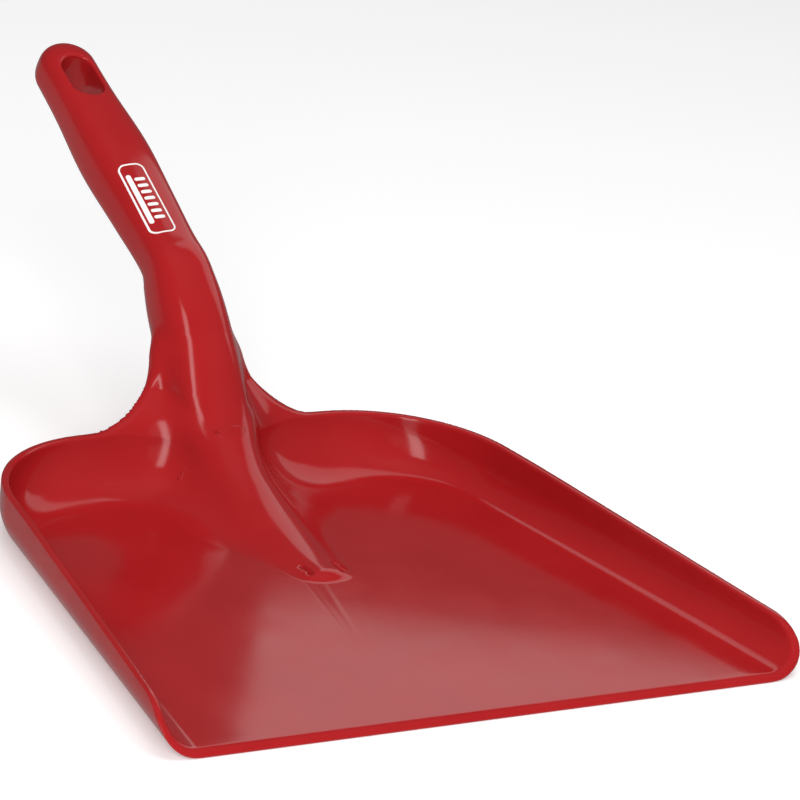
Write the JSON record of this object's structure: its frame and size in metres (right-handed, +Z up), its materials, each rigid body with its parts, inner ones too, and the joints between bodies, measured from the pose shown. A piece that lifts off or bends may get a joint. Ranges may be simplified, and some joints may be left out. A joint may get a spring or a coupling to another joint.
{
  "type": "dustpan",
  "caption": "Hand-held moulded dustpan: wide tapered pan with low walls, hollow ridge rising to the back wall, steep neck and rounded grip with a hanging slot.",
  "frame": {"origin": "on the flat underside of the floor, on the centre line, 60 mm behind the front lip", "axes": "+Z up, +X to the right seen from the open front, +Y from the front lip back to the end of the grip"},
  "size_m": [0.2958, 0.4012, 0.1411],
  "materials": {
    "moulded_plastic": "satin-gloss polypropylene, red",
    "badge_ink": "white pad-printed ink"
  },
  "bodies": {
    "root": {"pan": "moulded_plastic", "handle": "moulded_plastic", "printed_badge": "badge_ink"}
  },
  "joints": []
}
